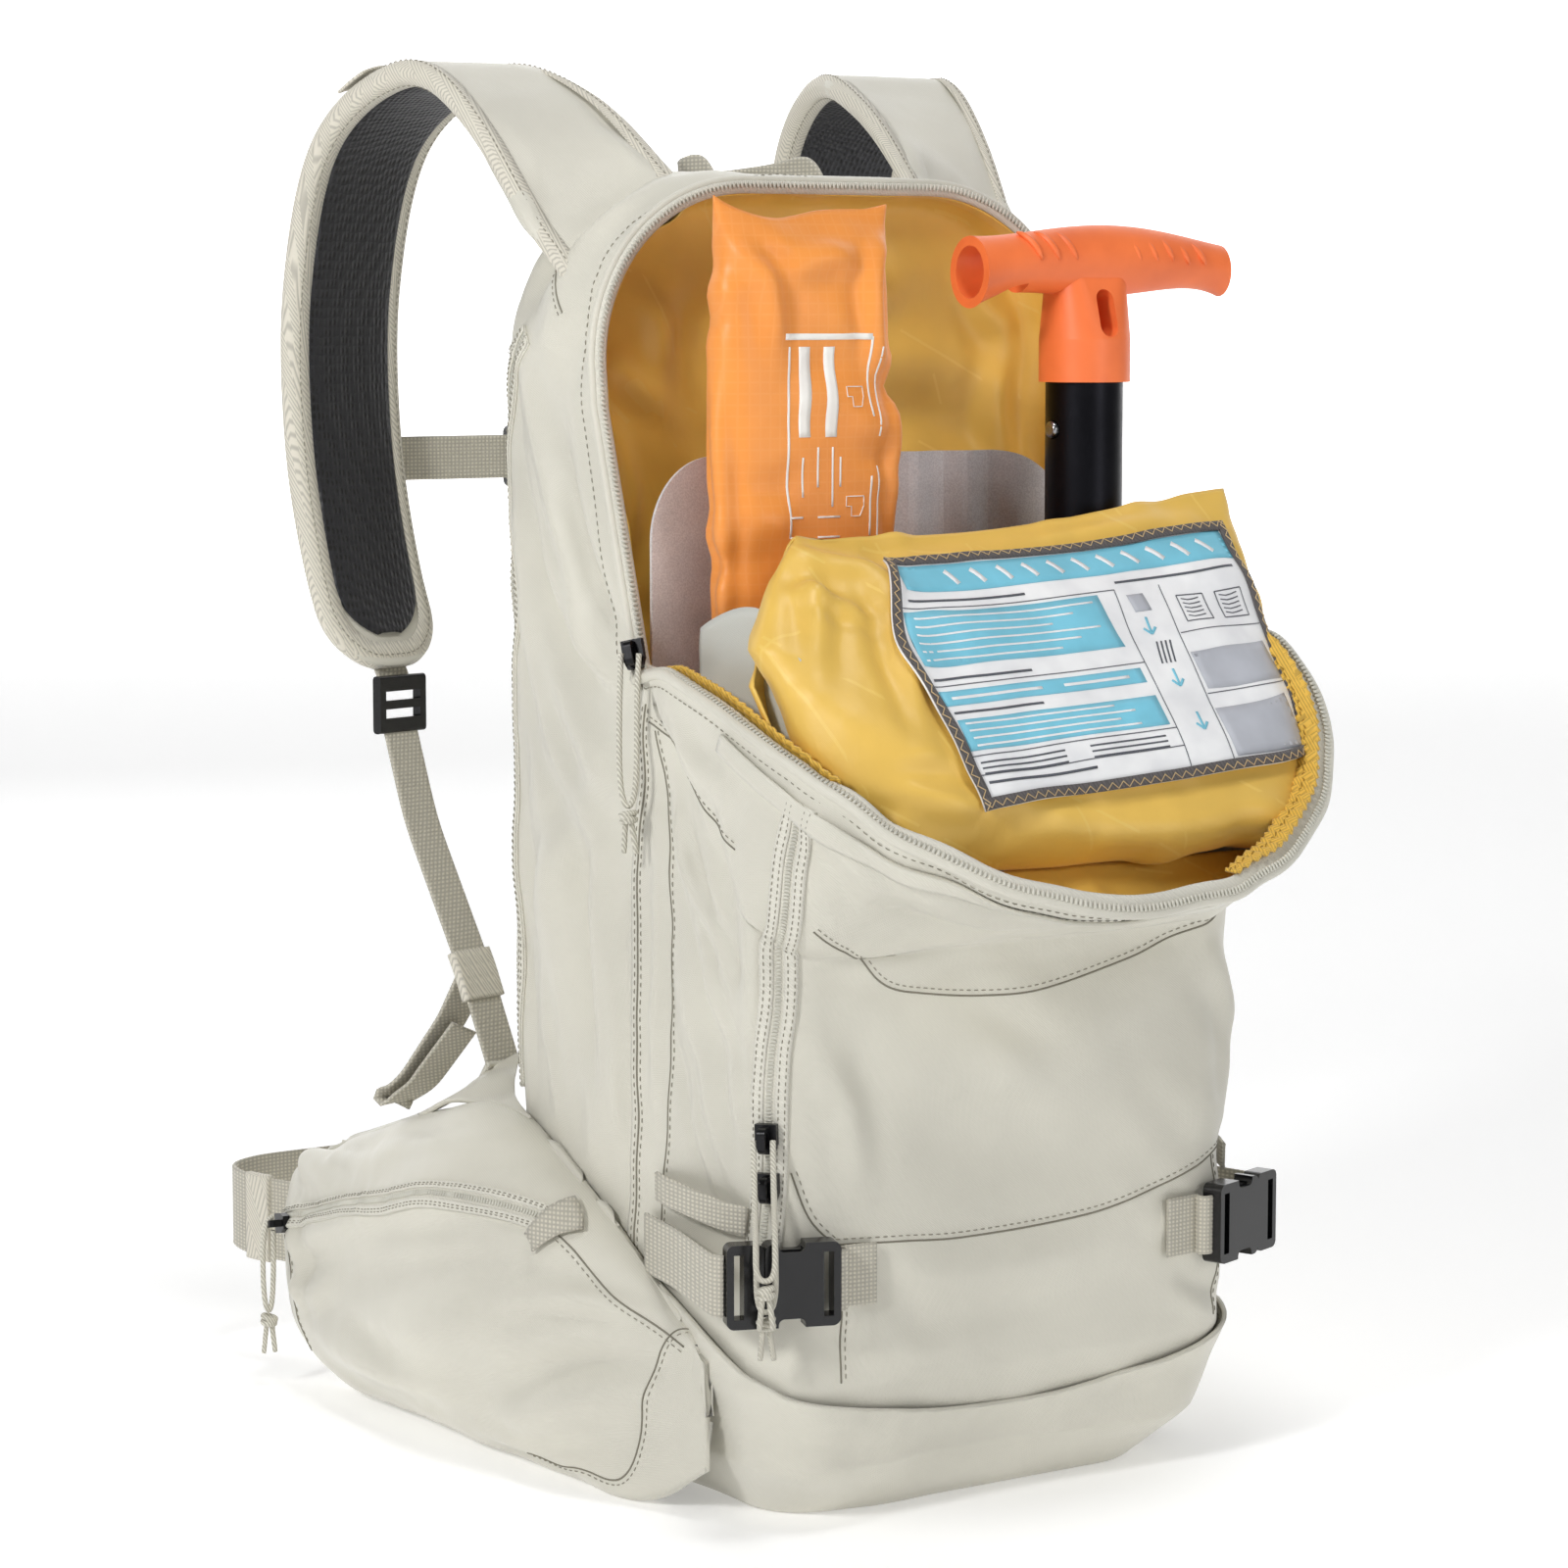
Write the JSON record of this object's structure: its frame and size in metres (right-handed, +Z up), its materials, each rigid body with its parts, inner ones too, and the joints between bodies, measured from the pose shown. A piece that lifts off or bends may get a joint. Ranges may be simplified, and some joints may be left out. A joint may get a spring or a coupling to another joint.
{
  "type": "ski touring avalanche backpack",
  "caption": "Upright ski backpack with an open front flap, a stowed shovel and probe bag, a pouch with a card, shoulder straps and a zipped hip belt.",
  "frame": {"origin": "middle of the flat base, where the pack stands", "axes": "+Z up, outer face towards -Y, wearer on the +Y side, +X to the wearer's right"},
  "size_m": [0.3606, 0.5228, 0.5978],
  "materials": {
    "shell_fabric": "fine matt twill",
    "lining": "thin coated nylon",
    "zip_tape": "woven tape with coil",
    "webbing": "ribbed webbing",
    "mesh": "spacer mesh",
    "buckle_plastic": "moulded",
    "slider_metal": "black enamel",
    "pull_cord": "braided cord",
    "grip_plastic": "moulded",
    "shaft_metal": "black anodised",
    "button_metal": "black",
    "blade_metal": "grey coated",
    "probe_bag": "ripstop nylon",
    "probe_tube": "anodised",
    "card": "printed film",
    "card_edge": "bound tape",
    "foam": "foam under mesh",
    "frame_plastic": "sheet",
    "frame_metal": "plain"
  },
  "bodies": {
    "pack": {"base_panel": "shell_fabric", "main_shell": "shell_fabric", "front_shell": "shell_fabric", "tool_lining": "lining", "tool_sleeve": "lining", "arch_zip": "zip_tape", "flap_gusset": "shell_fabric", "back_pad": "foam", "frame_sheet": "frame_plastic", "frame_stays": "frame_metal", "front_panels": "shell_fabric", "front_zip": "zip_tape", "haul_loop": "webbing", "wing_left": "shell_fabric", "wing_right": "shell_fabric", "belt_zips": "zip_tape", "belt_web_left": "webbing", "belt_web_right": "webbing", "belt_socket": "buckle_plastic", "adjuster_web_left": "webbing", "adjuster_web_right": "webbing", "strap_anchors": "shell_fabric", "side_web_left": "webbing", "side_web_right": "webbing", "side_keepers": "webbing", "side_sockets": "buckle_plastic"},
    "flap": {"flap_rim": "zip_tape"},
    "divider": {"divider_pouch": "lining", "divider_card": "card", "card_binding": "card_edge"},
    "harness": {"strap_left": "shell_fabric", "strap_right": "shell_fabric", "strap_mesh": "mesh", "ladder_locks": "buckle_plastic", "sternum_web_left": "webbing", "sternum_web_right": "webbing", "sternum_socket": "buckle_plastic"},
    "sternum_catch": {"sternum_plug": "buckle_plastic"},
    "belt_catch": {"belt_plug": "buckle_plastic"},
    "side_catch_left": {"side_plug_left": "buckle_plastic"},
    "side_catch_right": {"side_plug_right": "buckle_plastic"},
    "shovel": {"shovel_shaft": "shaft_metal", "shovel_grip": "grip_plastic"},
    "button": {"shaft_button": "button_metal"},
    "blade": {"shovel_blade": "blade_metal"},
    "probe": {"probe_bag": "probe_bag", "probe_tubes": "probe_tube"},
    "arch_runner_left": {"arch_slider_left": "slider_metal", "arch_pull_left": "pull_cord"},
    "arch_runner_right": {"arch_slider_right": "slider_metal", "arch_pull_right": "pull_cord"},
    "front_runner_upper": {"front_slider_upper": "slider_metal", "front_pull_upper": "pull_cord"},
    "front_runner_lower": {"front_slider_lower": "slider_metal", "front_pull_lower": "pull_cord"},
    "belt_runner_left": {"belt_slider_left": "slider_metal", "belt_pull_left": "pull_cord"},
    "belt_runner_right": {"belt_slider_right": "slider_metal", "belt_pull_right": "pull_cord"}
  },
  "joints": [
    {"name": "flap_hinge", "type": "hinge", "parent": "pack", "child": "flap", "pos_m": [0, -0.041, 0.336], "axis": [-1, 0, 0], "range_deg": [0, 60], "deforming": ["flap_gusset"]},
    {"name": "divider_hinge", "type": "hinge", "parent": "pack", "child": "divider", "pos_m": [0, -0.15, 0.285], "axis": [1, 0, 0], "range_deg": [0, 35]},
    {"name": "harness_swing", "type": "hinge", "parent": "pack", "child": "harness", "pos_m": [0, 0.045, 0.553], "axis": [1, 0, 0], "range_deg": [-10, 10], "deforming": ["adjuster_web_left", "adjuster_web_right"]},
    {"name": "sternum_buckle", "type": "slide", "parent": "harness", "child": "sternum_catch", "axis": [1, 0, 0], "range_m": [0, 0.022], "deforming": ["sternum_web_right"]},
    {"name": "belt_buckle", "type": "slide", "parent": "pack", "child": "belt_catch", "axis": [1, 0, 0], "range_m": [0, 0.022], "deforming": ["belt_web_right"]},
    {"name": "side_buckle_left", "type": "slide", "parent": "pack", "child": "side_catch_left", "axis": [-0.9397, 0.3419, 0], "range_m": [0, 0.022], "deforming": ["side_web_left"]},
    {"name": "side_buckle_right", "type": "slide", "parent": "pack", "child": "side_catch_right", "axis": [0.9397, 0.3419, 0], "range_m": [0, 0.022], "deforming": ["side_web_right"]},
    {"name": "shovel_slide", "type": "slide", "parent": "pack", "child": "shovel", "axis": [0, 0, 1], "range_m": [0, 0.3]},
    {"name": "button_push", "type": "slide", "parent": "shovel", "child": "button", "axis": [1, 0, 0], "range_m": [0, 0.003], "stiffness_N_per_m": 400},
    {"name": "blade_slide", "type": "slide", "parent": "pack", "child": "blade", "axis": [0, 0, 1], "range_m": [0, 0.25]},
    {"name": "probe_slide", "type": "slide", "parent": "pack", "child": "probe", "axis": [0, 0, 1], "range_m": [0, 0.3]},
    {"name": "arch_slider_left_run", "type": "slide", "parent": "pack", "child": "arch_runner_left", "axis": [-0.0122, 0.278, 0.9605], "range_m": [0, 0.085]},
    {"name": "arch_slider_right_run", "type": "slide", "parent": "pack", "child": "arch_runner_right", "axis": [0.0122, 0.278, 0.9605], "range_m": [0, 0.085]},
    {"name": "front_slider_upper_run", "type": "slide", "parent": "pack", "child": "front_runner_upper", "axis": [-0.023, 0.011, 0.9997], "range_m": [0, 0.055]},
    {"name": "front_slider_lower_run", "type": "slide", "parent": "pack", "child": "front_runner_lower", "axis": [-0.023, 0.011, 0.9997], "range_m": [0, 0.006]},
    {"name": "belt_slider_left_run", "type": "slide", "parent": "pack", "child": "belt_runner_left", "axis": [-0.121, -0.9687, 0.2169], "range_m": [0, 0.034]},
    {"name": "belt_slider_right_run", "type": "slide", "parent": "pack", "child": "belt_runner_right", "axis": [0.121, -0.9687, 0.2169], "range_m": [0, 0.034]}
  ]
}
